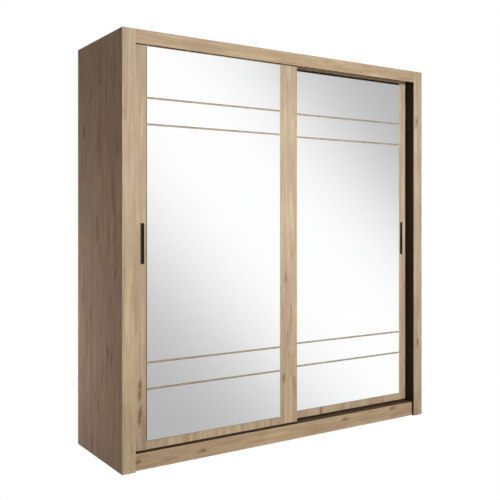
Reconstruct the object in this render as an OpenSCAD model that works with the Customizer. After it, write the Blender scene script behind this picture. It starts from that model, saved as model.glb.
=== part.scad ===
// Two-door sliding wardrobe: a laminated board carcass, a raised front frame,
// and two mirrored doors that roll past each other on a double track.
// X runs along the front, -Y is the front, Z is up, and the origin is on the floor at the middle.

/* [Overall size] */
// Width across the two front posts
wardrobe_w = 2030; // [1900:10:2200]
// Depth from the front posts to the heads of the back nails
wardrobe_d = 600; // [580:10:680]
// Height from the floor to the top
wardrobe_h = 2155; // [2105:10:2305]

/* [Boards] */
// Thickness of every laminated board
board = 16; // [16:1:18]
// Thickness of the back sheets
back_sheet = 3; // [3:0.5:4]
// Width of the front posts
post_w = 70; // [64:2:90]
// Height of the top fascia
fascia_h = 69; // [64:1:80]
// Depth of the dark cheeks that close the gap behind the posts
cheek_d = 79; // [74:1:84]
// Height of the plinth
plinth_h = 85; // [80:1:100]
// Height of the floor glides under the boards
glide_h = 2; // [2:0.5:4]

/* [Doors] */
// How far the two doors overlap when shut
door_overlap = 92; // [80:2:120]
// Gap between a shut door's outer edge and the cheek
door_clear = 8.4; // [6:0.2:10]
// Distance between the planes of the two doors
door_pitch = 48; // [44:1:48]
// Gap between the front frame and the face of the front door's board
door_setback = 1.5; // [1.5:0.5:3]
// Height of the doors' lower edge above the floor
door_bottom = 98; // [97:1:100]
// Gap between the doors and the underside of the top panel
door_top_gap = 22; // [20:1:24]
// Width of the board left visible beside the outer edge of the mirrors
outer_stile = 57; // [54:1:80]
// Width of the board left visible beside the inner edge of the mirrors
inner_stile = 119; // [106:1:130]

/* [Mirrors] */
// Thickness of the mirror glass
mirror_t = 4; // [3:1:4]
// Height of the lowest mirror edge above the floor
mirror_bottom = 140.5; // [135:0.5:150]
// Height of the highest mirror edge below the top of the wardrobe
mirror_top_drop = 73; // [73:0.5:85]
// Gap between one mirror piece and the next
mirror_gap = 7; // [4:0.5:10]
// Height of the square-cut end pieces, up to the middle of the gap
mirror_end_h = 255; // [200:0.5:300]
// Height of the narrow bands, between the middles of their gaps
mirror_band_h = 130; // [100:1:160]

/* [Handles] */
// Height of each handle
handle_h = 202; // [160:1:240]
// Width of each handle
handle_w = 20; // [18:1:22]
// Depth of the pocket that each handle is let into
handle_d = 10; // [9:0.5:11]
// Height of the handles' middle above the floor
handle_z = 1111; // [1000:1:1200]

/* [Rollers] */
// Radius of the wheels at the bottom of their groove
wheel_r = 15; // [14:0.5:16]
// Width of the wheels
wheel_w = 7; // [6:0.5:7]
// Distance from a door's edge to the middle of its roller
roller_inset = 90; // [80:5:140]

/* [Inside] */
// Height of the underside of both top shelves
top_shelf_z = 1800; // [1700:10:1850]
// Height of the underside of the lowest shelf in the right bay
low_shelf_z = 360; // [320:10:380]
// Rise from one low shelf to the next in the right bay
shelf_step = 290; // [240:10:300]
// Drop from the top shelf to the middle of the hanging rail
rail_drop = 55; // [45:5:80]

/* [Hidden] */
$fn = 32;

// Colours
oak = [0.73, 0.64, 0.52];
dark_brown = [0.17, 0.12, 0.09];
track_brown = [0.27, 0.2, 0.15];
hardboard = [0.62, 0.5, 0.37];
beech = [0.85, 0.72, 0.52];
zinc = [0.7, 0.7, 0.68];
chrome = [0.82, 0.83, 0.85];
silvered = [0.9, 0.92, 0.93];
nylon = [0.9, 0.9, 0.87];
black_plastic = [0.1, 0.1, 0.1];
rubber = [0.15, 0.14, 0.13];

// Sides: -1 is the left of the wardrobe and 1 the right
left = -1;
right = 1;
sides = [left, right];

// Planes of the carcass, along X
outer_x = wardrobe_w / 2;
inner_x = outer_x - board;
side_mid_x = outer_x - board / 2;
opening_x = outer_x - post_w;
cheek_mid_x = opening_x + board / 2;

// Planes of the carcass, along Y
front_y = -wardrobe_d / 2;
frame_back_y = front_y + board;
plinth_back_y = frame_back_y + board;
cheek_back_y = frame_back_y + cheek_d;
nail_head = 1;
back_face_y = wardrobe_d / 2 - nail_head;
sheet_front_y = back_face_y - back_sheet;
kick_back_y = sheet_front_y - 15;

// Planes of the carcass, along Z
bottom_under_z = plinth_h - board - 3;
bottom_top_z = bottom_under_z + board;
bottom_mid_z = bottom_under_z + board / 2;
top_under_z = wardrobe_h - board;
top_mid_z = wardrobe_h - board / 2;
fascia_under_z = wardrobe_h - fascia_h;

// Doors, worked out for the left door, which runs on the front rail
door_outer_x = opening_x - door_clear;
door_inner_x = door_overlap / 2;
door_face_y = frame_back_y + door_setback;
door_back_y = door_face_y + board;
door_top_z = top_under_z - door_top_gap;
mirror_y = [door_face_y - mirror_t, door_face_y];
mirror_x = [-door_outer_x + outer_stile, door_inner_x - inner_stile];
mirror_top_z = wardrobe_h - mirror_top_drop;
handle_gap = 11.5;
handle_base = 3;
handle_mid_x = mirror_x[0] - handle_gap - handle_w / 2;

// Rollers
rail_offset = 6.5;
rail_y = door_back_y + rail_offset;
rail_top_z = plinth_h + 4;
rail_gap = 0.3;
wheel_z = rail_top_z + rail_gap + wheel_r;
flange_r = wheel_r + 1.5;
axle_r = 2;
roller_x = [-door_outer_x + roller_inset, door_inner_x - roller_inset];
housing_depth = 13.5;

// Tracks
track_t = 2;
fin_t = 1.5;
guide_y = door_face_y + board / 2;
guide_groove = 10;
track_back_y = rail_y + door_pitch + 8.5;
front_skirt_z = fascia_under_z + 4;

// Inside
inside_front_y = track_back_y + 3;
shelf_front_y = inside_front_y + 5;
low_shelf_zs = [for (i = [0:2]) low_shelf_z + i * shelf_step];
hang_rail_z = top_shelf_z - rail_drop;
hang_rail_y = (inside_front_y + sheet_front_y) / 2;
pin_r = 2.5;
pin_in = 7;
pin_out = 8;
pin_ys = [shelf_front_y + 50, sheet_front_y - 50];

// Fittings
fit = 0.05;
cam_setback = 34;
cam_depth = 12.5;
cam_r = 7.4;
cam_bolt_in = 11;
dowel_r = 4;
dowel_in_face = 12;
dowel_in_edge = 18;
screw_r = 1.5;
screw_head_r = 3.4;
screw_head_h = 1.9;
screw_len = 10;
anchor_r = 2.75;
bracket_x = wardrobe_w * 0.4;
bracket_leg = 40;
anchor_z = top_under_z - 22;
glide_r = 7.5;
glide_pin_r = 1.5;
glide_pin_h = 10;

// ---- Small tools ----

// A box between two X, two Y and two Z values
module box(x, y, z) {
    translate([min(x), min(y), min(z)])
        cube([abs(x[1] - x[0]), abs(y[1] - y[0]), abs(z[1] - z[0])]);
}

// Puts its children at point p, with their X axis along u and their Z axis along w
module place(p, u, w) {
    v = cross(w, u);
    multmatrix([
        [u[0], v[0], w[0], p[0]],
        [u[1], v[1], w[1], p[1]],
        [u[2], v[2], w[2], p[2]],
        [0, 0, 0, 1],
    ]) children();
}

// A cylinder along X
module rod(r, from, to) {
    translate([from, 0, 0]) rotate([0, 90, 0]) cylinder(r = r, h = to - from);
}

// The two values either side of a middle
function span(mid, half) = [mid - half, mid + half];

// Any direction square to u
function across(u) = abs(u[2]) > 0.5 ? [1, 0, 0] : [0, 0, 1];

// ---- Joints: [point on the joint, direction into the edge-on board, side its cams are drilled from] ----

function corner_cams(s) = [
    for (top = [false, true], y = [frame_back_y + 64, 20, sheet_front_y - 46])
        [[s * inner_x, y, top ? top_mid_z : bottom_mid_z], [-s, 0, 0], [0, 0, top ? 1 : -1]]
];
partition_cams = [
    for (top = [false, true], y = [inside_front_y + 75, sheet_front_y - 76])
        [[0, y, top ? top_under_z : bottom_top_z], [0, 0, top ? -1 : 1], [1, 0, 0]]
];
function post_cams(s) = [
    for (z = [400, 1075, 1750]) [[s * side_mid_x, frame_back_y, z], [0, 1, 0], [-s, 0, 0]]
];
fascia_cams = [
    for (x = [-720, -240, 240, 720]) [[x, frame_back_y, top_mid_z], [0, 1, 0], [0, 0, 1]]
];
plinth_cams = [
    for (x = [-640, -210, 210, 640]) [[x, plinth_back_y, bottom_mid_z], [0, 1, 0], [0, 0, -1]]
];
all_cams = concat(
    corner_cams(left), corner_cams(right), partition_cams,
    post_cams(left), post_cams(right), fascia_cams, plinth_cams
);

// Dowel joints: [point on the joint, direction into the edge-on board]
function corner_dowels(s) = [
    for (z = [bottom_mid_z, top_mid_z], y = [-120, 150]) [[s * inner_x, y, z], [-s, 0, 0]]
];
partition_dowels = [
    for (top = [false, true], y = [-30, 130])
        [[0, y, top ? top_under_z : bottom_top_z], [0, 0, top ? -1 : 1]]
];
function post_dowels(s) = [
    for (z = [150, 740, 1410, 2000]) [[s * side_mid_x, frame_back_y, z], [0, 1, 0]]
];
fascia_dowels = [for (x = [-900, -480, 0, 480, 900]) [[x, frame_back_y, top_mid_z], [0, 1, 0]]];
function fascia_end_dowels(s) = [
    for (z = [fascia_under_z + 20, fascia_under_z + 50])
        [[s * opening_x, front_y + board / 2, z], [-s, 0, 0]]
];
function cheek_post_dowels(s) = [
    for (z = [300, 800, 1300, 1800]) [[s * cheek_mid_x, frame_back_y, z], [0, 1, 0]]
];
function cheek_end_dowels(s) = [
    [[s * cheek_mid_x, frame_back_y + 44, bottom_top_z], [0, 0, 1]],
    [[s * cheek_mid_x, frame_back_y + 44, top_under_z], [0, 0, -1]],
];
plinth_dowels = [for (x = [-880, -420, 0, 420, 880]) [[x, plinth_back_y, bottom_mid_z], [0, 1, 0]]];
function plinth_end_dowels(s) = [[[s * inner_x, frame_back_y + board / 2, 35], [-s, 0, 0]]];
function kick_end_dowels(s) = [[[s * inner_x, kick_back_y - board / 2, 30], [-s, 0, 0]]];
middle_front_dowels = [[[0, plinth_back_y, 30], [0, 1, 0]]];
middle_back_dowels = [[[0, kick_back_y - board, 30], [0, -1, 0]]];
function side_dowels(s) = concat(
    corner_dowels(s), post_dowels(s), fascia_end_dowels(s), cheek_post_dowels(s),
    cheek_end_dowels(s), plinth_end_dowels(s), kick_end_dowels(s)
);
all_dowels = concat(
    side_dowels(left), side_dowels(right), partition_dowels, fascia_dowels,
    plinth_dowels, middle_front_dowels, middle_back_dowels
);

// Small screws: [middle of the head, direction into the board]
track_screw_xs = [-880, -440, 0, 440, 880];
bottom_track_screws = [
    for (x = track_screw_xs) [[x, rail_y + door_pitch / 2, bottom_top_z + track_t], [0, 0, -1]]
];
top_track_screws = [
    for (x = track_screw_xs) [[x, guide_y + door_pitch / 2, top_under_z - track_t], [0, 0, 1]]
];
socket_t = 3;
socket_screw_rise = 25;
rail_ends = [
    [-inner_x, [-1, 0, 0]], [-board / 2, [1, 0, 0]], [board / 2, [-1, 0, 0]], [inner_x, [1, 0, 0]],
];
socket_screws = [
    for (end = rail_ends, dz = [-socket_screw_rise, socket_screw_rise])
        [[end[0] - end[1][0] * socket_t, hang_rail_y, hang_rail_z + dz], end[1]]
];
bracket_t = 2;
bracket_screws = [
    for (s = sides, dx = [-9, 9])
        [[s * bracket_x + dx, sheet_front_y - 26, top_under_z - bracket_t], [0, 0, 1]]
];
carcass_screws = concat(bottom_track_screws, top_track_screws, socket_screws, bracket_screws);
housing_plate_t = 3;
housing_plate = [68, 50];
housing_screws = [
    for (x = roller_x, dx = [-28, 28], dz = [-12, 18])
        [[x + dx, door_back_y + housing_plate_t, wheel_z + 23 + dz], [0, -1, 0]]
];
guide_plate_t = 3;
guide_xs = roller_x;
guide_screws = [
    for (x = guide_xs, dx = [-10, 10]) [[x + dx, door_back_y + guide_plate_t, door_top_z - 30], [0, -1, 0]]
];
door_screws = concat(housing_screws, guide_screws);
handle_screws = [
    for (dz = [-1, 1]) [[handle_mid_x, door_back_y, handle_z + dz * handle_h * 0.35], [0, -1, 0]]
];
handle_corner = 4;
handle_rim = 2;
handle_screw_r = 2;
handle_screw_len = board - handle_d + handle_base - 0.5;

// Floor glides: the boards that stand on each list of points
side_glides = [-230, 0, 230];
plinth_glides = [-600, 0, 600];
all_glides = concat(
    [for (s = sides, y = side_glides) [s * side_mid_x, y]],
    [for (s = sides) [s * (outer_x - post_w / 2), front_y + board / 2]],
    [for (x = plinth_glides) [x, frame_back_y + board / 2]],
    [for (x = plinth_glides) [x, kick_back_y - board / 2]]
);

// ---- Cuts made in the boards ----

module cam_cuts(joints) {
    for (j = joints) place(j[0], j[1], j[2]) {
        rod(2.5 + fit, -cam_bolt_in - 1, 0);
        rod(4, 0, cam_setback);
        translate([cam_setback, 0, board / 2 - cam_depth]) cylinder(r = cam_r + 0.1, h = cam_depth + 1);
    }
}

module dowel_cuts(joints) {
    for (j = joints) place(j[0], j[1], across(j[1]))
        rod(dowel_r + fit, -dowel_in_face - 1, dowel_in_edge + 1);
}

module screw_cuts(screws) {
    for (s = screws) place(s[0], s[1], across(s[1])) {
        rod(screw_r + fit, -1, screw_len + 0.5);
        rod(screw_head_r + fit, -1, 0);
        rotate([0, 90, 0])
            cylinder(r1 = screw_head_r + fit, r2 = screw_r + fit, h = screw_head_h);
    }
}

module glide_cuts() {
    for (g = all_glides) translate([g[0], g[1], 0])
        cylinder(r = glide_pin_r + fit, h = glide_h + glide_pin_h + 0.5);
}

function shelf_pins_at(xs, z) = [for (x = xs, y = pin_ys) [x, y, z - pin_r - 0.02]];
left_bay = [-inner_x, -board / 2];
right_bay = [board / 2, inner_x];
left_pins = shelf_pins_at(left_bay, top_shelf_z);
right_pins = [
    for (z = concat(top_shelf_z, low_shelf_zs), p = shelf_pins_at(right_bay, z)) p
];

// Holes for pins, drilled outwards from a bay through the face at one of its ends
module pin_cuts(pins) {
    for (p = pins) translate(p) rod(pin_r + fit, -pin_in - 0.5, pin_in + 0.5);
}

// ---- Carcass ----

module side_panel(s) {
    color(oak) difference() {
        box(s * [inner_x, outer_x], [frame_back_y, sheet_front_y], [glide_h, wardrobe_h]);
        cam_cuts(concat(corner_cams(s), post_cams(s)));
        dowel_cuts(concat(corner_dowels(s), post_dowels(s), plinth_end_dowels(s), kick_end_dowels(s)));
        pin_cuts(s == left ? left_pins : right_pins);
        screw_cuts(socket_screws);
        glide_cuts();
    }
}

module side_panel_left() { side_panel(left); }

module side_panel_right() { side_panel(right); }

module front_post(s) {
    color(oak) difference() {
        box(s * [opening_x, outer_x], [front_y, frame_back_y], [glide_h, wardrobe_h]);
        cam_cuts(post_cams(s));
        dowel_cuts(concat(post_dowels(s), fascia_end_dowels(s), cheek_post_dowels(s)));
        glide_cuts();
    }
}

module front_post_left() { front_post(left); }

module front_post_right() { front_post(right); }

// The dark board behind each post, notched over the plinth's top edge
module cheek(s) {
    color(dark_brown) difference() {
        box(s * [opening_x, opening_x + board], [frame_back_y, cheek_back_y], [bottom_top_z, top_under_z]);
        box(s * [opening_x - 1, outer_x], [front_y, plinth_back_y], [0, plinth_h]);
        dowel_cuts(concat(cheek_post_dowels(s), cheek_end_dowels(s)));
    }
}

module cheek_left() { cheek(left); }

module cheek_right() { cheek(right); }

module top_fascia() {
    color(oak) difference() {
        box([-opening_x, opening_x], [front_y, frame_back_y], [fascia_under_z, wardrobe_h]);
        cam_cuts(fascia_cams);
        dowel_cuts(concat(fascia_dowels, fascia_end_dowels(left), fascia_end_dowels(right)));
    }
}

module top_panel() {
    color(oak) difference() {
        box([-inner_x, inner_x], [frame_back_y, sheet_front_y], [top_under_z, wardrobe_h]);
        cam_cuts(concat(corner_cams(left), corner_cams(right), partition_cams, fascia_cams));
        dowel_cuts(concat(corner_dowels(left), corner_dowels(right), partition_dowels, fascia_dowels));
        dowel_cuts(concat(cheek_end_dowels(left), cheek_end_dowels(right)));
        screw_cuts(concat(top_track_screws, bracket_screws));
    }
}

module bottom_panel() {
    color(oak) difference() {
        box([-inner_x, inner_x], [plinth_back_y, sheet_front_y], [bottom_under_z, bottom_top_z]);
        cam_cuts(concat(corner_cams(left), corner_cams(right), partition_cams, plinth_cams));
        dowel_cuts(concat(corner_dowels(left), corner_dowels(right), partition_dowels, plinth_dowels));
        dowel_cuts(concat(cheek_end_dowels(left), cheek_end_dowels(right)));
        screw_cuts(bottom_track_screws);
    }
}

module plinth_front() {
    color(oak) difference() {
        box([-inner_x, inner_x], [frame_back_y, plinth_back_y], [glide_h, plinth_h]);
        cam_cuts(plinth_cams);
        dowel_cuts(concat(plinth_dowels, middle_front_dowels));
        dowel_cuts(concat(plinth_end_dowels(left), plinth_end_dowels(right)));
        glide_cuts();
    }
}

module plinth_back() {
    color(oak) difference() {
        box([-inner_x, inner_x], [kick_back_y - board, kick_back_y], [glide_h, bottom_under_z]);
        dowel_cuts(concat(kick_end_dowels(left), kick_end_dowels(right), middle_back_dowels));
        glide_cuts();
    }
}

module plinth_middle() {
    color(oak) difference() {
        box([-board / 2, board / 2], [plinth_back_y, kick_back_y - board], [glide_h, bottom_under_z]);
        dowel_cuts(concat(middle_front_dowels, middle_back_dowels));
    }
}

module centre_partition() {
    color(oak) difference() {
        box([-board / 2, board / 2], [inside_front_y, sheet_front_y], [bottom_top_z, top_under_z]);
        cam_cuts(partition_cams);
        dowel_cuts(partition_dowels);
        pin_cuts([for (p = left_pins) if (p[0] > -inner_x) p]);
        pin_cuts([for (p = right_pins) if (p[0] < inner_x) p]);
        screw_cuts(socket_screws);
    }
}

module back_sheet_half(s) {
    color(hardboard) difference() {
        box(s * [0.5, outer_x - 2], [sheet_front_y, back_face_y], [glide_h + 2, wardrobe_h - 2]);
        translate([s * bracket_x, sheet_front_y - 1, anchor_z])
            rotate([-90, 0, 0]) cylinder(r = anchor_r + 1.5, h = back_sheet + 2);
    }
}

module back_sheet_left() { back_sheet_half(left); }

module back_sheet_right() { back_sheet_half(right); }

// ---- Inside ----

module shelf(bay, z) {
    color(oak) box(bay + [1, -1], [shelf_front_y, sheet_front_y - 1], [z, z + board]);
}

module top_shelf_left() { shelf(left_bay, top_shelf_z); }

module top_shelf_right() { shelf(right_bay, top_shelf_z); }

module low_shelf_upper() { shelf(right_bay, low_shelf_zs[2]); }

module low_shelf_middle() { shelf(right_bay, low_shelf_zs[1]); }

module low_shelf_lower() { shelf(right_bay, low_shelf_zs[0]); }

// Outline of the oval rail tube, tall along Y, grown by a margin
module rail_oval(margin) {
    for (dy = [-7.5, 7.5]) translate([0, dy]) circle(r = 7.5 + margin);
    square([15 + 2 * margin, 15], center = true);
}

// Turns an outline drawn flat into a bar along X, with the outline's Y pointing up
module along_x(from, to) {
    translate([from, 0, 0]) rotate([90, 0, 90]) linear_extrude(height = to - from) children();
}

module hanging_rail(bay) {
    wall = 1.2;
    clear = socket_t + 0.5;
    color(chrome) translate([0, hang_rail_y, hang_rail_z])
        along_x(bay[0] + clear, bay[1] - clear) difference() {
            rail_oval(0);
            rail_oval(-wall);
        }
}

module hanging_rail_left() { hanging_rail(left_bay); }

module hanging_rail_right() { hanging_rail(right_bay); }

// One cup that holds a rail's end, with its base on the plane x = 0 and its mouth towards +X
module rail_socket() {
    cup_len = 12;
    difference() {
        union() {
            along_x(0, socket_t) hull() {
                for (dy = [-socket_screw_rise, socket_screw_rise]) translate([0, dy]) circle(r = 7);
                circle(r = 13);
            }
            along_x(0, cup_len) rail_oval(2.2);
        }
        along_x(socket_t, cup_len + 1) rail_oval(0.2);
    }
}

module rail_sockets() {
    color(chrome) difference() {
        for (end = rail_ends)
            place([end[0], hang_rail_y, hang_rail_z], -end[1], [0, 0, 1]) rail_socket();
        screw_cuts(socket_screws);
    }
}

module shelf_pins() {
    color(zinc) {
        for (p = concat(left_pins, right_pins)) {
            inwards = p[0] == -inner_x || p[0] == board / 2 ? 1 : -1;
            place(p, [inwards, 0, 0], [0, 0, 1]) rod(pin_r, -pin_in, pin_out);
        }
    }
}

// ---- Tracks ----

// An upright fin of a track, along the whole opening
module fin(y, z, t) {
    box([-opening_x, opening_x], [y - t / 2, y + t / 2], z);
}

// Flat base, two grooves for the door guides and a skirt behind the fascia
module top_track() {
    base_z = top_under_z - track_t;
    skirt_t = 1;
    color(track_brown) difference() {
        union() {
            box([-opening_x, opening_x], [frame_back_y, track_back_y], [base_z, top_under_z]);
            box([-opening_x, opening_x], [frame_back_y, frame_back_y + skirt_t], [front_skirt_z, base_z]);
            for (y = [guide_y, guide_y + door_pitch], dy = [-1, 1])
                fin(y + dy * (guide_groove + fin_t) / 2, [base_z - 15, base_z], fin_t);
            fin(track_back_y - fin_t / 2, [base_z - 15, base_z], fin_t);
        }
        screw_cuts(top_track_screws);
    }
}

// Flat base with two round-topped rails and a low lip at each edge
module bottom_track() {
    base_z = bottom_top_z + track_t;
    rib_r = 1.2;
    color(track_brown) difference() {
        union() {
            box([-opening_x, opening_x], [plinth_back_y, track_back_y], [bottom_top_z, base_z]);
            for (y = [rail_y, rail_y + door_pitch]) {
                fin(y, [base_z, rail_top_z - rib_r], 2 * rib_r);
                translate([0, y, rail_top_z - rib_r]) rod(rib_r, -opening_x, opening_x);
            }
            for (y = [plinth_back_y + fin_t / 2, track_back_y - fin_t / 2])
                fin(y, [base_z, base_z + 3], fin_t);
        }
        screw_cuts(bottom_track_screws);
    }
}

// Soft dots on the cheeks that each door closes against
module door_buffers() {
    buffer_t = door_clear - 0.3;
    color(rubber)
        for (s = sides, y = [guide_y, guide_y + door_pitch], z = [400, 1800])
            place([s * opening_x, y, z], [-s, 0, 0], [0, 0, 1]) rod(6, 0, buffer_t);
}

// ---- Hardware of the carcass ----

module foot_glides() {
    color(nylon)
        for (g = all_glides) translate([g[0], g[1], 0]) {
            cylinder(r = glide_r, h = glide_h);
            cylinder(r = glide_pin_r, h = glide_h + glide_pin_h);
        }
}

// Steel angles under the top panel, with a hole in the upright leg for a wall anchor
module wall_brackets() {
    color(zinc) difference() {
        for (s = sides) {
            width = span(s * bracket_x, 16);
            leg_y = sheet_front_y - bracket_leg;
            leg_z = top_under_z - bracket_leg;
            box(width, [leg_y, sheet_front_y], [top_under_z - bracket_t, top_under_z]);
            box(width, [sheet_front_y - bracket_t, sheet_front_y], [leg_z, top_under_z]);
        }
        screw_cuts(bracket_screws);
        for (s = sides) translate([s * bracket_x, sheet_front_y - bracket_t - 1, anchor_z])
            rotate([-90, 0, 0]) cylinder(r = anchor_r, h = bracket_t + 2);
    }
}

// A round cam with a cross slot on top and a mouth for the bolt's head
module cam_lock() {
    cam_h = 12;
    difference() {
        cylinder(r = cam_r, h = cam_h);
        for (a = [45, 135]) rotate([0, 0, a]) translate([-5, -0.8, cam_h - 2]) cube([10, 1.6, 3]);
        translate([0, 0, cam_depth - board / 2]) rod(3.7, -cam_r - 1, 3);
    }
}

module cam_locks() {
    color(zinc)
        for (j = all_cams) place(j[0], j[1], j[2])
            translate([cam_setback, 0, board / 2 - cam_depth]) cam_lock();
}

// Threaded end in one board, collar on its face, and a head inside the cam
module cam_bolts() {
    color(zinc)
        for (j = all_cams) place(j[0], j[1], j[2]) {
            rod(2.5, -cam_bolt_in, 0);
            rod(3.5, 0, 1.5);
            rod(2, 1.5, cam_setback - 5);
            rod(3.3, cam_setback - 5, cam_setback - 1);
        }
}

module dowels() {
    color(beech)
        for (j = all_dowels) place(j[0], j[1], across(j[1])) rod(dowel_r, -dowel_in_face, dowel_in_edge);
}

// Countersunk wood screw along X, with its head on the plane x = 0 and a cross recess
module small_screw() {
    difference() {
        union() {
            rotate([0, 90, 0]) cylinder(r1 = screw_head_r, r2 = screw_r, h = screw_head_h);
            rod(screw_r, screw_head_h, screw_len - 2);
            translate([screw_len - 2, 0, 0]) rotate([0, 90, 0]) cylinder(r1 = screw_r, r2 = 0.3, h = 2);
        }
        for (a = [0, 90]) rotate([a, 0, 0]) translate([-1, -0.5, -1.8]) cube([2, 1, 3.6]);
    }
}

module screws_at(screws) {
    for (s = screws) place(s[0], s[1], across(s[1])) small_screw();
}

module small_screws() { color(zinc) screws_at(carcass_screws); }

module back_nails() {
    row_xs = [for (i = [-5:5]) i * (outer_x - board) / 5.5 + sign(i) * 4];
    column_zs = [for (i = [1:8]) bottom_top_z + i * (top_under_z - bottom_top_z) / 9];
    nails = concat(
        [for (x = row_xs, z = [bottom_mid_z, top_mid_z]) if (abs(x) > 1) [x, z]],
        [for (s = sides, z = column_zs) [s * (side_mid_x - 2), z]],
        [for (s = sides, z = column_zs) [s * 4.5, z]]
    );
    color(zinc)
        for (n = nails) translate([n[0], back_face_y, n[1]]) {
            rotate([-90, 0, 0]) cylinder(r = 2.2, h = nail_head);
            rotate([90, 0, 0]) cylinder(r = 0.8, h = 15);
        }
}

// ---- Doors: drawn as the left door, and mirrored on to the rear rail for the right one ----

module as_door(s) {
    if (s == left) children();
    else translate([0, door_pitch, 0]) mirror([1, 0, 0]) children();
}

// Door board with a pocket for the handle
module door_panel(s) {
    color(oak) as_door(s) difference() {
        box([-door_outer_x, door_inner_x], [door_face_y, door_back_y], [door_bottom, door_top_z]);
        screw_cuts(door_screws);
        into_door(-1) handle_shape(-handle_rim + fit, handle_d + fit + 1);
        for (h = handle_screws) place(h[0], h[1], [0, 0, 1]) rod(handle_screw_r + fit, -1, board + 1);
    }
}

module left_door_panel() { door_panel(left); }

module right_door_panel() { door_panel(right); }

// One piece of mirror between two heights, cut back by half a gap at the ends that meet another
module mirror_piece(s, low, high) {
    trim = mirror_gap / 2;
    low_cut = low > mirror_bottom ? low + trim : low;
    high_cut = high < mirror_top_z ? high - trim : high;
    color(silvered) as_door(s) box(mirror_x, mirror_y, [low_cut, high_cut]);
}

mirror_low_zs = [mirror_bottom, mirror_bottom + mirror_end_h, mirror_bottom + mirror_end_h + mirror_band_h];
mirror_high_zs = [mirror_top_z - mirror_end_h - mirror_band_h, mirror_top_z - mirror_end_h, mirror_top_z];

module mirror_bottom_piece(s) { mirror_piece(s, mirror_low_zs[0], mirror_low_zs[1]); }

module mirror_main_piece(s) { mirror_piece(s, mirror_low_zs[2], mirror_high_zs[0]); }

module mirror_top_piece(s) { mirror_piece(s, mirror_high_zs[1], mirror_high_zs[2]); }

module mirror_band_pieces(s) {
    mirror_piece(s, mirror_low_zs[1], mirror_low_zs[2]);
    mirror_piece(s, mirror_high_zs[0], mirror_high_zs[1]);
}

module left_mirror_bottom() { mirror_bottom_piece(left); }

module left_mirror_main() { mirror_main_piece(left); }

module left_mirror_top() { mirror_top_piece(left); }

module left_mirror_bands() { mirror_band_pieces(left); }

module right_mirror_bottom() { mirror_bottom_piece(right); }

module right_mirror_main() { mirror_main_piece(right); }

module right_mirror_top() { mirror_top_piece(right); }

module right_mirror_bands() { mirror_band_pieces(right); }

// A rectangle with round corners, from the middle
module round_rect(size, r) {
    square(size - [2 * r, 0], center = true);
    square(size - [0, 2 * r], center = true);
    for (x = [-1, 1], y = [-1, 1])
        translate([x * (size[0] / 2 - r), y * (size[1] / 2 - r)]) circle(r = r);
}

// Moves a shape to a handle's middle, at a depth below the door's face, with its Z into the board
module into_door(depth) {
    translate([handle_mid_x, door_face_y + depth, handle_z]) rotate([-90, 0, 0]) children();
}

// Slab in the outline of a handle, grown all round by grow
module handle_shape(grow, depth) {
    linear_extrude(height = depth)
        round_rect([handle_w + 2 * grow, handle_h + 2 * grow], handle_corner + grow);
}

// Finger pull let into the door: a shallow cup with a thin rim over the edge of its pocket
module handle(s) {
    wall = 1.75;
    rim_t = 1;
    color(dark_brown) as_door(s) difference() {
        union() {
            into_door(-rim_t) handle_shape(0, rim_t);
            into_door(-0.1) handle_shape(-handle_rim, handle_d + 0.1);
        }
        into_door(-rim_t - 1) handle_shape(-handle_rim - wall, rim_t + 1 + handle_d - handle_base);
        for (h = handle_screws)
            place(h[0], h[1], [0, 0, 1]) rod(handle_screw_r + fit, -1, handle_screw_len + 0.1);
    }
}

module left_handle() { handle(left); }

module right_handle() { handle(right); }

// Round-headed machine screws that hold the handle from behind the door
module handle_screw_set(s) {
    color(zinc) as_door(s)
        for (h = handle_screws) place(h[0], h[1], [0, 0, 1]) difference() {
            union() {
                rod(handle_screw_r, 0, handle_screw_len);
                rod(3.8, -2, 0);
            }
            for (a = [0, 90]) rotate([a, 0, 0]) translate([-2.5, -0.6, -2.2]) cube([1.7, 1.2, 4.4]);
        }
}

module left_handle_screws() { handle_screw_set(left); }

module right_handle_screws() { handle_screw_set(right); }

// Plate on the door's back with a box around the wheel, open underneath
module roller_housings(s) {
    box_half = 22;
    slot_half = flange_r + 1.8;
    slot_y = span(rail_y, wheel_w / 2 + 0.5);
    low_z = wheel_z - 4;
    top_z = wheel_z + housing_plate[1];
    plate_y = [door_back_y, door_back_y + housing_plate_t];
    color(black_plastic) as_door(s) difference() {
        for (x = roller_x) difference() {
            union() {
                box(span(x, housing_plate[0] / 2), plate_y, [wheel_z, top_z]);
                box(span(x, box_half), [door_back_y, door_back_y + housing_depth], [low_z, top_z]);
            }
            box(span(x, slot_half), slot_y, [low_z - 1, wheel_z + flange_r + 1.5]);
            translate([x, door_back_y - 1, wheel_z])
                rotate([-90, 0, 0]) cylinder(r = axle_r + 0.02, h = housing_depth + 2);
        }
        screw_cuts(housing_screws);
    }
}

module left_roller_housings() { roller_housings(left); }

module right_roller_housings() { roller_housings(right); }

// Grooved nylon wheel on the plane y = 0, turned about the Y axis
module wheel() {
    half = wheel_w / 2;
    rotate([90, 0, 0]) rotate_extrude($fn = 64) polygon([
        [axle_r + fit, -half], [flange_r, -half], [flange_r, -half + 0.9], [wheel_r, -1.9],
        [wheel_r, 1.9], [flange_r, half - 0.9], [flange_r, half], [axle_r + fit, half],
    ]);
}

module door_wheel(s, x) {
    color(nylon) as_door(s) translate([x, rail_y, wheel_z]) wheel();
}

module left_wheel_outer() { door_wheel(left, roller_x[0]); }

module left_wheel_inner() { door_wheel(left, roller_x[1]); }

module right_wheel_outer() { door_wheel(right, roller_x[0]); }

module right_wheel_inner() { door_wheel(right, roller_x[1]); }

// Rivets that carry the wheels, headed on the side away from the door
module axles(s) {
    color(zinc) as_door(s)
        for (x = roller_x) place([x, door_back_y + 0.2, wheel_z], [0, 1, 0], [0, 0, 1]) {
            rod(axle_r, 0, housing_depth);
            rod(3.2, housing_depth - 0.2, housing_depth + 0.8);
        }
}

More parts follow.
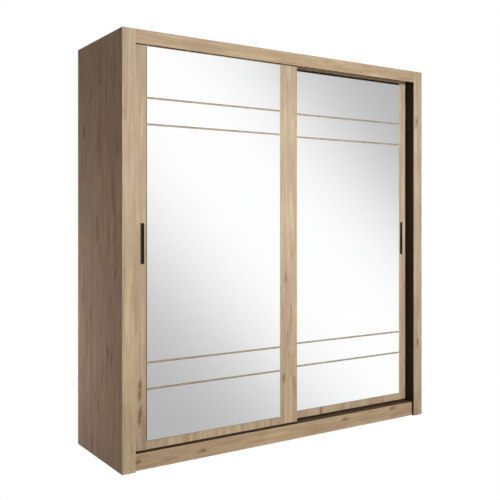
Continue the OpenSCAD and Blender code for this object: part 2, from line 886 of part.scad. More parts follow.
module left_axles() { axles(left); }

module right_axles() { axles(right); }

// Plate on the door's back, an arm over its top edge and a peg that runs in the top track
module top_guides(s) {
    peg_h = 14;
    peg_r = guide_groove / 2 - 0.5;
    arm_half = 18;
    arm_z = door_top_z + 3;
    color(black_plastic) as_door(s) difference() {
        for (x = guide_xs) {
            box(span(x, arm_half), [door_back_y, door_back_y + guide_plate_t], [door_top_z - 45, arm_z]);
            box(span(x, arm_half), [guide_y - peg_r, door_back_y], [door_top_z, arm_z]);
            translate([x, guide_y, arm_z]) cylinder(r = peg_r, h = peg_h);
        }
        screw_cuts(guide_screws);
    }
}

module left_top_guides() { top_guides(left); }

module right_top_guides() { top_guides(right); }

module door_screw_set(s) { color(zinc) as_door(s) screws_at(door_screws); }

module left_door_screws() { door_screw_set(left); }

module right_door_screws() { door_screw_set(right); }

side_panel_left();
side_panel_right();
front_post_left();
front_post_right();
cheek_left();
cheek_right();
top_fascia();
top_panel();
bottom_panel();
plinth_front();
plinth_back();
plinth_middle();
centre_partition();
back_sheet_left();
back_sheet_right();
top_shelf_left();
top_shelf_right();
low_shelf_upper();
low_shelf_middle();
low_shelf_lower();
hanging_rail_left();
hanging_rail_right();
rail_sockets();
shelf_pins();
top_track();
bottom_track();
door_buffers();
foot_glides();
wall_brackets();
cam_locks();
cam_bolts();
dowels();
small_screws();
back_nails();
left_door_panel();
left_mirror_top();
left_mirror_bands();
left_mirror_main();
left_mirror_bottom();
left_handle();
left_handle_screws();
left_roller_housings();
left_wheel_outer();
left_wheel_inner();
left_axles();
left_top_guides();
left_door_screws();
right_door_panel();
right_mirror_top();
right_mirror_bands();
right_mirror_main();
right_mirror_bottom();
right_handle();
right_handle_screws();
right_roller_housings();
right_wheel_outer();
right_wheel_inner();
right_axles();
right_top_guides();
right_door_screws();
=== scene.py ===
"""Sliding door wardrobe: materials, mirror glass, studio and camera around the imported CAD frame."""

import math
import random

import bmesh
import bpy
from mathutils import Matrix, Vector


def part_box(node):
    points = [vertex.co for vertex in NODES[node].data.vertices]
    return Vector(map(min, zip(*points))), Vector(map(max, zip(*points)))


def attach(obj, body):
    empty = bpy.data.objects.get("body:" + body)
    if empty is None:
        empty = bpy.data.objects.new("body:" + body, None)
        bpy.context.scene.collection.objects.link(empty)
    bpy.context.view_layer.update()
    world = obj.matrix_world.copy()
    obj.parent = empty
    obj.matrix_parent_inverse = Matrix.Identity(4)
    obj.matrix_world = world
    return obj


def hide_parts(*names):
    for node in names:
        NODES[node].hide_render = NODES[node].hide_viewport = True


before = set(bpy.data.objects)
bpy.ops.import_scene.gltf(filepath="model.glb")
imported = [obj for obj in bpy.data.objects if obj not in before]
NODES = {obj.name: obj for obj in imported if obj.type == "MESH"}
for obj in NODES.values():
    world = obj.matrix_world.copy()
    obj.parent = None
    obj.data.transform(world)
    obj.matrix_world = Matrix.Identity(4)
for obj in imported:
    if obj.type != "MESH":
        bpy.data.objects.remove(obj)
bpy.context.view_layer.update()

SIDES = ("left", "right")

# ---- Sizes and colours -----------------------------------------------------------------------

MM = 0.001

# The axes by number, named for how they run across the wardrobe
SIDEWAYS, DEEPWAYS, UPRIGHT = 0, 1, 2

# Oak colours, from the palest grain to the darkest knot, and two tones that multiply them: none, and a
# warmer, darker tint that paints the shade on the sides
OAK_YELLOW = (0.555, 0.448, 0.280)
OAK_PINK = (0.520, 0.394, 0.280)
OAK_DEEP = (0.375, 0.270, 0.178)
OAK_STREAK = (0.230, 0.145, 0.092)
OAK_KNOT = (0.170, 0.078, 0.046)
PLAIN = (1.0, 1.0, 1.0)
WARM_SHADE_TINT = (1.0, 0.95, 0.93)

# Two near-black browns that paint shade: on the cheeks in the deep recess behind the posts, and on oak
# faces that lie in shade
SHADE_BROWN_LOW = (0.0180, 0.0096, 0.0064)
SHADE_BROWN_HIGH = (0.0300, 0.0170, 0.0115)

# A placed knot's reach across and along the grain
KNOT_SIZE = (11 * MM, 30 * MM)

# How far each finish's edges are rounded, and the mirrors' ground arris
ROUNDED = {"oak": 0.7 * MM, "painted_shade_laminate": 0.7 * MM, "track_brown": 0.25 * MM, "handle_brown": 0.8 * MM}
ARRIS = 1.0 * MM

# The colour of the light that comes from the world, and of what the floor throws back
WORLD_FILL = (0.195, 0.139, 0.107, 1.0)
FLOOR_BOUNCE = (0.24, 0.19, 0.16, 1.0)
FLOOR_REACH = 30.0

# The mirrors' card: its size and place, its brightness on and off the band, the height of the band's
# middle, how sharply it ends, its (lean, reach) facing each door, and where the one gives way to the other
CARD_SIZE = (9.0, 4.5)
CARD_Y = -0.65
CARD_FOOT = 0.002
CARD_LIT = 1.025
CARD_DIM = 0.47
CARD_MIDDLE = 1.34
CARD_SHARPNESS = 2.75
LEFT_BAND = (1.0, 1.16)
RIGHT_BAND = (0.85, 1.21)
CARD_SPLIT = (0.22, 0.36)

# The camera, found by fitting the corners of the wardrobe's frame: place in metres, turn from
# straight ahead in degrees, lens and sensor in millimetres, and the share of the frame it shifts by
CAMERA_PLACE = (-2.4501, -3.5948, 1.2308)
CAMERA_TURN = -33.3575
CAMERA_LENS = 53.16
CAMERA_SENSOR = 36.0
CAMERA_SHIFT = -0.0617

# ---- Node trees ------------------------------------------------------------------------------


class Shader:
    """A material's node tree around one Principled shader, with a short call for each kind of node."""

    def __init__(self, name, roughness, metallic=0.0, specular=0.5):
        self.material = bpy.data.materials.new(name)
        self.material.use_nodes = True
        self.tree = self.material.node_tree
        self.tree.nodes.clear()
        self.bsdf = self.add("ShaderNodeBsdfPrincipled")
        self.bsdf.inputs["Roughness"].default_value = roughness
        self.bsdf.inputs["Metallic"].default_value = metallic
        self.bsdf.inputs["Specular IOR Level"].default_value = specular
        output = self.add("ShaderNodeOutputMaterial")
        self.link(self.bsdf.outputs["BSDF"], output.inputs["Surface"])

    def add(self, kind, **settings):
        """A new node of a kind, with its settings."""
        node = self.tree.nodes.new(kind)
        for key, value in settings.items():
            setattr(node, key, value)
        return node

    def link(self, source, target):
        self.tree.links.new(source, target)

    def feed(self, socket, value):
        """Links a socket, or sets a plain value on it."""
        if isinstance(value, bpy.types.NodeSocket):
            self.link(value, socket)
        else:
            socket.default_value = value

    def place(self, scale, offset=(0, 0, 0)):
        """Object coordinates in metres, moved by offset and then scaled."""
        coordinates = self.add("ShaderNodeTexCoord")
        moved = self.add("ShaderNodeVectorMath", operation="ADD")
        self.link(coordinates.outputs["Object"], moved.inputs[0])
        moved.inputs[1].default_value = offset
        scaled = self.add("ShaderNodeVectorMath", operation="MULTIPLY")
        self.link(moved.outputs[0], scaled.inputs[0])
        scaled.inputs[1].default_value = scale
        return scaled.outputs[0]

    def noise(self, vector, detail=3.0, roughness=0.55, distortion=0.0):
        """Noise from about 0.3 to 0.7, at the scale that place() gave the vector."""
        node = self.add("ShaderNodeTexNoise")
        self.link(vector, node.inputs["Vector"])
        node.inputs["Scale"].default_value = 1.0
        node.inputs["Detail"].default_value = detail
        node.inputs["Roughness"].default_value = roughness
        node.inputs["Distortion"].default_value = distortion
        return node.outputs["Fac"]

    def voronoi(self, vector):
        """The distance to the nearest cell's middle, and that cell's own random colour."""
        node = self.add("ShaderNodeTexVoronoi")
        self.link(vector, node.inputs["Vector"])
        node.inputs["Scale"].default_value = 1.0
        return node.outputs["Distance"], node.outputs["Color"]

    def span(self, value, low, high, out_low=0.0, out_high=1.0):
        """Maps low..high to out_low..out_high, smoothly and held at both ends."""
        node = self.add("ShaderNodeMapRange", interpolation_type="SMOOTHSTEP")
        self.link(value, node.inputs["Value"])
        node.inputs["From Min"].default_value = low
        node.inputs["From Max"].default_value = high
        node.inputs["To Min"].default_value = out_low
        node.inputs["To Max"].default_value = out_high
        return node.outputs["Result"]

    def facing(self, axis, sign):
        """1 on the faces whose normal points along an axis (0, 1 or 2), and 0 on the others."""
        coordinates = self.add("ShaderNodeTexCoord")
        split = self.add("ShaderNodeSeparateXYZ")
        self.link(coordinates.outputs["Normal"], split.inputs[0])
        return self.span(self.math("MULTIPLY", split.outputs[axis], sign), 0.6, 0.8)

    def math(self, operation, a, b):
        """One step of arithmetic on sockets or plain numbers."""
        node = self.add("ShaderNodeMath", operation=operation)
        self.feed(node.inputs[0], a)
        self.feed(node.inputs[1], b)
        return node.outputs[0]

    def mix(self, factor, a, b, blend="MIX"):
        """Colour a where factor is 0 and colour b where it is 1."""
        node = self.add("ShaderNodeMix", data_type="RGBA", blend_type=blend)
        self.feed(node.inputs[0], factor)
        self.feed(node.inputs[6], a if isinstance(a, bpy.types.NodeSocket) else (*a, 1.0))
        self.feed(node.inputs[7], b if isinstance(b, bpy.types.NodeSocket) else (*b, 1.0))
        return node.outputs[2]

    def colour(self, value):
        self.feed(self.bsdf.inputs["Base Color"], value)

    def roughness(self, value):
        self.feed(self.bsdf.inputs["Roughness"], value)

    def bump(self, height, strength, depth):
        """Tilts the surface by a height from 0 to 1, which stands for depth in metres."""
        node = self.add("ShaderNodeBump")
        node.inputs["Strength"].default_value = strength
        node.inputs["Distance"].default_value = depth
        self.link(height, node.inputs["Height"])
        self.link(node.outputs["Normal"], self.bsdf.inputs["Normal"])


# ---- Materials -------------------------------------------------------------------------------


def oak(name, board, seed):
    """Oak-grain laminate with its figure moved by seed; see OAK_BOARDS for the board's own settings."""
    shader = Shader(name, 0.58, specular=0.12)
    spot = random.Random(seed)
    offset = [spot.uniform(-40, 40) for _ in range(3)]

    def stretched(across, along):
        """Coordinates with so many figures in a metre across the grain and along it."""
        scale = [across] * 3
        scale[board["grain"]] = along
        return shader.place(scale, offset)

    hue = shader.noise(stretched(12, 1.6), detail=3, distortion=0.6)
    stripes = shader.noise(stretched(42, 1.3), detail=3, roughness=0.5, distortion=0.4)
    clouds = shader.noise(stretched(10, 3.4), detail=4, roughness=0.62)
    spindles = shader.noise(stretched(40, 4.6), detail=2, distortion=0.7)
    spindle_zones = shader.noise(stretched(7, 2.0), detail=1)
    fibres = shader.noise(stretched(760, 16), detail=2)
    hairs = shader.noise(stretched(190, 5), detail=3)

    wood = shader.mix(shader.span(hue, 0.38, 0.62), OAK_YELLOW, OAK_PINK)
    wood = shader.mix(shader.span(clouds, 0.60, 0.36, 0.0, 0.50), wood, OAK_DEEP)
    wood = shader.mix(shader.span(stripes, 0.60, 0.38, 0.0, 0.55), wood, OAK_DEEP)
    marks = shader.math(
        "MULTIPLY",
        shader.span(spindles, 0.54, 0.68, 0.0, board.get("streaky", 0.4)),
        shader.span(spindle_zones, 0.42, 0.58, 0.25, 1.0),
    )
    wood = shader.mix(marks, wood, OAK_STREAK)
    wood = shader.mix(shader.span(hairs, 0.58, 0.34, 0.0, 0.25), wood, OAK_STREAK)
    wood = shader.mix(scattered_knots(shader, stretched), wood, OAK_KNOT)
    for place in board.get("knots", ()):
        wood = shader.mix(placed_knot(shader, place, board["grain"]), wood, OAK_KNOT)
    wood = shader.mix(shader.span(fibres, 0.44, 0.26, 0.0, 0.30), wood, OAK_STREAK)
    wood = shader.mix(1.0, wood, board.get("tone", PLAIN), blend="MULTIPLY")
    # Painted shade: faces that lie in recesses or under other parts are painted dark brown.
    for axis, sign in board.get("painted_shade_faces", ()):
        wood = shader.mix(shader.facing(axis, sign), wood, board.get("painted_shade_tone", SHADE_BROWN_HIGH))
    shader.colour(wood)
    shader.roughness(shader.span(fibres, 0.3, 0.7, 0.5, 0.62))
    shader.bump(shader.math("ADD", fibres, hairs), 0.22, 0.2 * MM)
    return shader.material


def scattered_knots(shader, stretched):
    """Soft oval knots, about 20 mm across, with a darker heart, in a few of the cells of a grid."""
    wobble = shader.noise(stretched(60, 30), detail=2)
    moved = shader.add("ShaderNodeVectorMath", operation="ADD")
    shader.link(stretched(15, 5.5), moved.inputs[0])
    shader.link(shader.math("MULTIPLY", wobble, 0.35), moved.inputs[1])
    distance, cell = shader.voronoi(moved.outputs[0])
    chosen = shader.add("ShaderNodeSeparateColor")
    shader.link(cell, chosen.inputs[0])
    halo = shader.span(distance, 0.32, 0.08, 0.0, 0.45)
    heart = shader.span(distance, 0.13, 0.03, 0.0, 0.35)
    in_few_cells = shader.span(chosen.outputs[0], 0.80, 0.88)
    return shader.math("MULTIPLY", shader.math("ADD", halo, heart), in_few_cells)


def placed_knot(shader, place, grain):
    """One ragged reddish knot around a point of a board's front face, (x, z) in metres."""
    x, z = place
    scale = [1 / KNOT_SIZE[0]] * 3
    scale[grain] = 1 / KNOT_SIZE[1]
    scale[DEEPWAYS] = 0
    centred = shader.place(scale, (-x, 0, -z))
    ragged = shader.add("ShaderNodeVectorMath", operation="ADD")
    wobble = shader.noise(shader.place((220, 220, 90)), detail=2)
    shader.link(centred, ragged.inputs[0])
    shader.link(shader.span(wobble, 0.3, 0.7, -0.4, 0.4), ragged.inputs[1])
    radius = shader.add("ShaderNodeVectorMath", operation="LENGTH")
    shader.link(ragged.outputs[0], radius.inputs[0])
    return shader.span(radius.outputs["Value"], 1.4, 0.3, 0.0, 0.80)


def painted_shade_laminate():
    """Laminate with a faint upright grain, painted almost black brown for the deep shade in the recess
    behind the posts.
    """
    shader = Shader("painted_shade_laminate", 0.5, specular=0.12)
    streaks = shader.noise(shader.place((180, 180, 3)), detail=4)
    shader.colour(shader.mix(shader.span(streaks, 0.35, 0.65), SHADE_BROWN_LOW, SHADE_BROWN_HIGH))
    shader.roughness(shader.span(streaks, 0.3, 0.7, 0.45, 0.58))
    shader.bump(streaks, 0.2, 0.2 * MM)
    return shader.material


def hardboard():
    """Brown pressed fibre with a light paper-like mottling."""
    shader = Shader("hardboard", 0.7, specular=0.25)
    specks = shader.noise(shader.place((900, 900, 900)), detail=2)
    clouds = shader.noise(shader.place((22, 22, 22)), detail=5)
    base = shader.mix(shader.span(clouds, 0.35, 0.65), (0.385, 0.255, 0.150), (0.42, 0.285, 0.170))
    shader.colour(shader.mix(shader.span(specks, 0.55, 0.7, 0.0, 0.45), base, (0.22, 0.135, 0.075)))
    shader.roughness(shader.span(specks, 0.3, 0.7, 0.62, 0.8))
    shader.bump(specks, 0.3, 0.2 * MM)
    return shader.material


def metal(name, colour, dull, roughness, brushed, grain):
    """Metal with drawn or plated streaks; brushed gives how many run across a metre on each axis."""
    shader = Shader(name, roughness, metallic=1.0)
    streaks = shader.noise(shader.place(brushed), detail=3)
    clouds = shader.noise(shader.place((40, 40, 40)), detail=3)
    shader.colour(shader.mix(shader.span(clouds, 0.35, 0.7), colour, dull))
    shader.roughness(shader.span(streaks, 0.3, 0.7, roughness - grain, roughness + grain))
    shader.bump(streaks, 0.12, 0.1 * MM)
    return shader.material


def coated(name, dark, light, roughness):
    """Powder-coated metal: a fine even texture and slightly worn tone."""
    shader = Shader(name, roughness, specular=0.18)
    specks = shader.noise(shader.place((1400, 1400, 1400)), detail=2)
    clouds = shader.noise(shader.place((14, 30, 30)), detail=4)
    shader.colour(shader.mix(shader.span(clouds, 0.35, 0.7), dark, light))
    shader.roughness(shader.span(specks, 0.3, 0.7, roughness - 0.06, roughness + 0.06))
    shader.bump(specks, 0.2, 0.1 * MM)
    return shader.material


def moulded(name, dark, light, roughness):
    """Moulded plastic or rubber with a fine spark-eroded texture."""
    shader = Shader(name, roughness, specular=0.4)
    specks = shader.noise(shader.place((1100, 1100, 1100)), detail=3)
    clouds = shader.noise(shader.place((25, 25, 25)), detail=2)
    shader.colour(shader.mix(clouds, dark, light))
    shader.roughness(shader.span(specks, 0.3, 0.7, roughness - 0.08, roughness + 0.08))
    shader.bump(specks, 0.35, 0.12 * MM)
    return shader.material


def beech():
    """Raw beech with short darker flecks."""
    shader = Shader("beech", 0.6, specular=0.3)
    flecks = shader.noise(shader.place((500, 500, 500)), detail=3)
    shader.colour(shader.mix(shader.span(flecks, 0.4, 0.6), (0.60, 0.42, 0.24), (0.68, 0.50, 0.31)))
    shader.bump(flecks, 0.3, 0.1 * MM)
    return shader.material


def silvered_glass():
    """The front of a mirror: a clean silvered surface with the faintest wiping marks."""
    shader = Shader("silvered_glass", 0.0, metallic=1.0)
    wiped = shader.noise(shader.place((3, 3, 9)), detail=5, distortion=1.2)
    shader.colour(shader.mix(shader.span(wiped, 0.3, 0.7), (0.955, 0.962, 0.962), (0.965, 0.970, 0.968)))
    shader.roughness(shader.span(wiped, 0.45, 0.75, 0.0, 0.012))
    return shader.material


def ground_edge_and_shadow():
    """The ground edge of a mirror, near black: partly the glass edge's own dark and partly painted shade
    for the contact shadow beside the proud glass.
    """
    shader = Shader("ground_edge_and_shadow", 0.35, specular=0.5)
    grit = shader.noise(shader.place((600, 600, 600)), detail=2)
    shader.colour(shader.mix(shader.span(grit, 0.35, 0.65), (0.020, 0.019, 0.016), (0.045, 0.043, 0.038)))
    shader.roughness(shader.span(grit, 0.3, 0.7, 0.28, 0.45))
    shader.bump(grit, 0.3, 0.1 * MM)
    return shader.material


# ---- CAD nodes that are shown as they are ----------------------------------------------------

# Each oak board: the axis its grain runs along, and, where they differ from the usual, how strongly
# brown streaks show (0 to 1), a tone that multiplies its colour, knots at (x, z) in metres, and the
# faces (axis, direction) painted dark brown as shade, with their shade colour where it isn't the usual one
OAK_BOARDS = {
    # The sides carry a warmer, darker tint: painted shade.
    "side_panel_left": {"grain": UPRIGHT, "streaky": 0.85, "tone": WARM_SHADE_TINT},
    "side_panel_right": {"grain": UPRIGHT, "streaky": 0.85, "tone": WARM_SHADE_TINT},
    "front_post_left": {"grain": UPRIGHT, "streaky": 0.25, "painted_shade_faces": [(SIDEWAYS, 1)]},
    "front_post_right": {
        "grain": UPRIGHT,
        "streaky": 0.3,
        # A darker tone: painted shade, the light falling off towards the right.
        "tone": (0.91, 0.91, 0.93),
        "knots": [(0.98, 0.46)],
        "painted_shade_faces": [(SIDEWAYS, -1)],
    },
    "left_door_panel": {
        "grain": UPRIGHT,
        "knots": [(-0.913, 0.42), (-0.915, 0.37), (-0.913, 0.285), (-0.916, 0.245), (-0.046, 0.35)],
    },
    "right_door_panel": {"grain": UPRIGHT},
    "top_fascia": {
        "grain": SIDEWAYS,
        "streaky": 0.2,
        "tone": (0.94, 0.90, 0.84),
        # Its underside and back are painted dark as shade, so they look black in the mirrors.
        "painted_shade_faces": [(UPRIGHT, -1), (DEEPWAYS, 1)],
    },
    "plinth_front": {
        "grain": SIDEWAYS,
        "tone": (1.0, 0.96, 0.92),
        "knots": [(-0.93, 0.046), (-0.56, 0.037), (0.40, 0.058), (0.78, 0.069)],
        # Its top face, in shade under the doors, is painted a dark brown of its own.
        "painted_shade_faces": [(UPRIGHT, 1)],
        "painted_shade_tone": (0.085, 0.050, 0.026),
    },
    "plinth_back": {"grain": SIDEWAYS},
    "plinth_middle": {"grain": DEEPWAYS},
    "centre_partition": {"grain": UPRIGHT},
    "top_panel": {"grain": SIDEWAYS},
    "bottom_panel": {"grain": SIDEWAYS},
    "top_shelf_left": {"grain": SIDEWAYS},
    "top_shelf_right": {"grain": SIDEWAYS},
    "low_shelf_upper": {"grain": SIDEWAYS},
    "low_shelf_middle": {"grain": SIDEWAYS},
    "low_shelf_lower": {"grain": SIDEWAYS},
}


def other_finishes():
    """Each remaining material with the CAD nodes that wear it."""
    zinc = metal("zinc_plate", (0.62, 0.61, 0.58), (0.50, 0.49, 0.46), 0.36, (300, 300, 300), 0.06)
    chrome = metal("chrome_plate", (0.86, 0.87, 0.88), (0.82, 0.83, 0.84), 0.08, (20, 500, 500), 0.03)
    track = coated("track_brown", (0.080, 0.050, 0.033), (0.105, 0.068, 0.046), 0.38)
    pull = coated("handle_brown", (0.026, 0.017, 0.012), (0.036, 0.025, 0.018), 0.36)
    black = moulded("black_plastic", (0.012, 0.012, 0.012), (0.020, 0.020, 0.020), 0.5)
    wheel = moulded("wheel_nylon", (0.030, 0.026, 0.022), (0.042, 0.036, 0.030), 0.42)
    nylon = moulded("nylon", (0.70, 0.69, 0.64), (0.76, 0.75, 0.70), 0.42)
    rubber = moulded("rubber", (0.018, 0.017, 0.016), (0.028, 0.026, 0.024), 0.75)
    return [
        # The cheeks wear near-black painted shade for the recess behind the posts.
        (painted_shade_laminate(), ["cheek_left", "cheek_right"]),
        (hardboard(), ["back_sheet_left", "back_sheet_right"]),
        (chrome, ["hanging_rail_left", "hanging_rail_right", "rail_sockets"]),
        (zinc, ["shelf_pins", "wall_brackets", "cam_locks", "cam_bolts", "small_screws", "back_nails"]),
        (zinc, [f"{side}_{part}" for side in SIDES for part in ("handle_screws", "axles", "door_screws")]),
        (track, ["top_track", "bottom_track"]),
        (pull, [f"{side}_handle" for side in SIDES]),
        (black, [f"{side}_{part}" for side in SIDES for part in ("roller_housings", "top_guides")]),
        (wheel, [f"{side}_wheel_{place}" for side in SIDES for place in ("outer", "inner")]),
        (nylon, ["foot_glides"]),
        (rubber, ["door_buffers"]),
        (beech(), ["dowels"]),
    ]


def dress(node, material, edge_radius=0.0):
    """Gives a CAD node its material and, where wanted, slightly rounded edges."""
    piece = NODES[node]
    piece.data.materials.clear()
    piece.data.materials.append(material)
    if edge_radius:
        weld = piece.modifiers.new("weld", "WELD")
        weld.merge_threshold = 0.01 * MM
        bevel = piece.modifiers.new("rounded_edges", "BEVEL")
        bevel.width = edge_radius
        bevel.segments = 2
        bevel.limit_method = "ANGLE"
        bevel.angle_limit = math.radians(50)
        bevel.use_clamp_overlap = True
        bevel.harden_normals = True


def dress_cad_nodes():
    """Gives each CAD node but the mirrors its finish; each oak board gets a figure of its own."""
    for seed, (node, board) in enumerate(OAK_BOARDS.items(), 11):
        dress(node, oak(f"oak_{node}", board, seed), ROUNDED["oak"])
    for material, nodes in other_finishes():
        for node in nodes:
            dress(node, material, ROUNDED.get(material.name, 0.0))


# ---- Mirrors ---------------------------------------------------------------------------------

def add_slab(mesh, low, high):
    """A mirror slab with a ground arris round its front face; face material 0 is silver, 1 the edge."""
    corners = ((low.x, low.z), (high.x, low.z), (high.x, high.z), (low.x, high.z))
    middle = Vector(((low.x + high.x) / 2, (low.z + high.z) / 2))

    def ring(y, inset):
        """The slab's outline at a depth, moved in by inset from each of its four sides."""
        points = []
        for x, z in corners:
            inward = (math.copysign(inset, middle.x - x), math.copysign(inset, middle.y - z))
            points.append(mesh.verts.new((x + inward[0], y, z + inward[1])))
        return points

    back = ring(high.y, 0)
    shoulder = ring(low.y + ARRIS, 0)
    front = ring(low.y, ARRIS)
    for a, b in ((back, shoulder), (shoulder, front)):
        for i in range(4):
            face = mesh.faces.new((a[i], a[i - 1], b[i - 1], b[i]))
            face.material_index = 1
    mesh.faces.new(front).material_index = 0
    mesh.faces.new(back[::-1]).material_index = 1


def split_boxes(node):
    """The box of each separate slab in a node, found from the heights of its vertices."""
    low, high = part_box(node)
    heights = sorted({round(v.co.z, 5) for v in NODES[node].data.vertices})
    pairs = zip(heights[0::2], heights[1::2])
    return [(Vector((low.x, low.y, z0)), Vector((high.x, high.y, z1))) for z0, z1 in pairs]


def make_mirrors():
    """Builds each mirror node's glass, which replaces the CAD slabs and rides on the same door."""
    silver, edge = silvered_glass(), ground_edge_and_shadow()
    for side in SIDES:
        for part in ("top", "bands", "main", "bottom"):
            node = f"{side}_mirror_{part}"
            mesh = bmesh.new()
            for low, high in split_boxes(node):
                add_slab(mesh, low, high)
            bmesh.ops.recalc_face_normals(mesh, faces=mesh.faces)
            data = bpy.data.meshes.new(node + "_glass")
            mesh.to_mesh(data)
            mesh.free()
            piece = bpy.data.objects.new(node + "_glass", data)
            bpy.context.scene.collection.objects.link(piece)
            data.materials.append(silver)
            data.materials.append(edge)
            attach(piece, f"{side}_door")
            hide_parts(node)


# ---- Studio ----------------------------------------------------------------------------------


def plane(name, corner, along, up):
    """A flat four-sided sheet from a corner and its two edges."""
    corner, along, up = Vector(corner), Vector(along), Vector(up)
    data = bpy.data.meshes.new(name)
    points = [corner, corner + along, corner + along + up, corner + up]
    data.from_pydata([p[:] for p in points], [], [(0, 1, 2, 3)])
    sheet = bpy.data.objects.new(name, data)
    bpy.context.scene.collection.objects.link(sheet)
    return sheet


def stage_material(name):
    """An empty material for something that belongs to the studio, and its node tree."""
    material = bpy.data.materials.new(name)
    material.use_nodes = True
    material.node_tree.nodes.clear()
    return material, material.node_tree


def make_floor():
    """A plain floor: white to the eye and in the mirrors, dark and warm as a source of bounced light."""
    corner = (-FLOOR_REACH, -FLOOR_REACH, 0)
    floor = plane("floor", corner, (2 * FLOOR_REACH, 0, 0), (0, 2 * FLOOR_REACH, 0))
    material, tree = stage_material("floor_white")
    path = tree.nodes.new("ShaderNodeLightPath")
    seen = tree.nodes.new("ShaderNodeEmission")
    seen.inputs["Strength"].default_value = 1.0
    bounce = tree.nodes.new("ShaderNodeBsdfDiffuse")
    bounce.inputs["Color"].default_value = FLOOR_BOUNCE
    mix = tree.nodes.new("ShaderNodeMixShader")
    output = tree.nodes.new("ShaderNodeOutputMaterial")
    plainly_seen = tree.nodes.new("ShaderNodeMath")
    plainly_seen.operation = "MAXIMUM"
    tree.links.new(path.outputs["Is Camera Ray"], plainly_seen.inputs[0])
    tree.links.new(path.outputs["Is Glossy Ray"], plainly_seen.inputs[1])
    tree.links.new(plainly_seen.outputs[0], mix.inputs[0])
    tree.links.new(bounce.outputs[0], mix.inputs[1])
    tree.links.new(seen.outputs[0], mix.inputs[2])
    tree.links.new(mix.outputs[0], output.inputs["Surface"])
    floor.data.materials.append(material)


def make_world():
    """White to the eye and in reflections, dimmer and warmer as a source of fill light."""
    world = bpy.data.worlds.new("studio")
    bpy.context.scene.world = world
    world.use_nodes = True
    tree = world.node_tree
    tree.nodes.clear()
    path = tree.nodes.new("ShaderNodeLightPath")
    shade = tree.nodes.new("ShaderNodeMix")
    shade.data_type = "RGBA"
    shade.inputs[6].default_value = (1.0, 1.0, 1.0, 1.0)
    shade.inputs[7].default_value = WORLD_FILL
    tree.links.new(path.outputs["Is Diffuse Ray"], shade.inputs[0])
    background = tree.nodes.new("ShaderNodeBackground")
    tree.links.new(shade.outputs[2], background.inputs["Color"])
    output = tree.nodes.new("ShaderNodeOutputWorld")
    tree.links.new(background.outputs[0], output.inputs["Surface"])


def aim(thing, target):
    """Turns a lamp to face a point."""
    direction = Vector(target) - thing.location
    thing.rotation_euler = direction.to_track_quat("-Z", "Y").to_euler()


def softbox(name, place, target, size, power, colour, spread):
    """A rectangular lamp that lights things but is itself never seen."""
    light = bpy.data.lights.new(name, "AREA")
    light.shape = "RECTANGLE"
    light.size, light.size_y = size
    light.energy = power
    light.color = colour
    light.spread = math.radians(spread)
    lamp = bpy.data.objects.new(name, light)
    bpy.context.scene.collection.objects.link(lamp)
    lamp.location = place
    aim(lamp, target)
    lamp.visible_glossy = False
    lamp.visible_camera = False


def make_lights():
    """Wide lamps in front, cool above and warm below, one low by each side, and one above the back."""
    softbox("key_high", (0.1, -3.1, 2.35), (0.1, 0, 1.25), (3.4, 0.3), 31, (1.0, 1.14, 1.26), 100)
    softbox("key_low", (0.1, -3.3, 0.8), (0.1, 0, 0.8), (3.4, 0.8), 46, (1.0, 0.92, 0.83), 180)
    softbox("left_side", (-1.75, 0.95, 0.68), (-1.0, 0.1, 0.68), (0.5, 0.7), 4.6, (1.0, 1.12, 1.35), 180)
    softbox("right_side", (4.0, 0.9, 1.5), (1.0, 0, 1.1), (1.5, 1.5), 70, (1.0, 1.0, 1.0), 180)
    softbox("behind", (0.9, 4.0, 4.2), (0, 0, 1.2), (2.4, 2.0), 260, (1.0, 1.0, 1.0), 180)


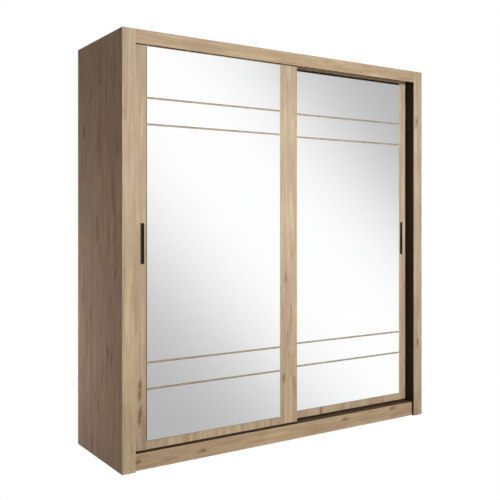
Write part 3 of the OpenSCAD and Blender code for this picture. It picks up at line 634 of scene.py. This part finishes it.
def make_reflector():
    """The white studio card that the mirrors face: bright along a diagonal band and dimmer beyond it."""
    width, height = CARD_SIZE
    card = plane("reflector", (-width / 2, CARD_Y, CARD_FOOT), (width, 0, 0), (0, 0, height))
    material, tree = stage_material("reflector_shade")
    coordinates = tree.nodes.new("ShaderNodeTexCoord")
    split = tree.nodes.new("ShaderNodeSeparateXYZ")
    tree.links.new(coordinates.outputs["Object"], split.inputs[0])

    def number(operation, a, b=0.0):
        """One step of arithmetic on sockets or plain numbers."""
        node = tree.nodes.new("ShaderNodeMath")
        node.operation = operation
        for socket, value in zip(node.inputs, (a, b)):
            if isinstance(value, bpy.types.NodeSocket):
                tree.links.new(value, socket)
            else:
                socket.default_value = value
        return node.outputs[0]

    def band(lean, reach):
        """Brightness of a soft band whose middle lies where z + lean * x is CARD_MIDDLE."""
        place = number("ADD", split.outputs["Z"], number("MULTIPLY", split.outputs["X"], lean))
        away = number("ABSOLUTE", number("DIVIDE", number("SUBTRACT", place, CARD_MIDDLE), reach))
        fall = number("EXPONENT", number("MULTIPLY", number("POWER", away, CARD_SHARPNESS), -1.0))
        return number("ADD", number("MULTIPLY", fall, CARD_LIT - CARD_DIM), CARD_DIM)

    side = tree.nodes.new("ShaderNodeMapRange")
    side.interpolation_type = "SMOOTHSTEP"
    side.inputs["From Min"].default_value = CARD_SPLIT[0]
    side.inputs["From Max"].default_value = CARD_SPLIT[1]
    tree.links.new(split.outputs["X"], side.inputs["Value"])
    mix = tree.nodes.new("ShaderNodeMix")
    tree.links.new(side.outputs[0], mix.inputs[0])
    tree.links.new(band(*LEFT_BAND), mix.inputs[2])
    tree.links.new(band(*RIGHT_BAND), mix.inputs[3])
    glow = tree.nodes.new("ShaderNodeEmission")
    tree.links.new(mix.outputs[0], glow.inputs["Strength"])
    output = tree.nodes.new("ShaderNodeOutputMaterial")
    tree.links.new(glow.outputs[0], output.inputs["Surface"])
    card.data.materials.append(material)
    card.visible_camera = False
    card.visible_diffuse = False
    card.visible_shadow = False
    card.visible_transmission = False
    card.visible_volume_scatter = False


def make_camera():
    """A level camera at the photograph's place; its shift keeps the upright edges upright."""
    data = bpy.data.cameras.new("camera")
    data.sensor_width = CAMERA_SENSOR
    data.lens = CAMERA_LENS
    data.shift_y = CAMERA_SHIFT
    camera = bpy.data.objects.new("camera", data)
    bpy.context.scene.collection.objects.link(camera)
    camera.location = CAMERA_PLACE
    camera.rotation_euler = (math.radians(90), 0, math.radians(CAMERA_TURN))
    bpy.context.scene.camera = camera


def set_view():
    """Shows colours as they are, with no film look."""
    view = bpy.context.scene.view_settings
    view.view_transform = "Standard"
    view.look = "None"


# ---- Everything ------------------------------------------------------------------------------

dress_cad_nodes()
make_mirrors()
make_floor()
make_world()
make_lights()
make_reflector()
make_camera()
set_view()
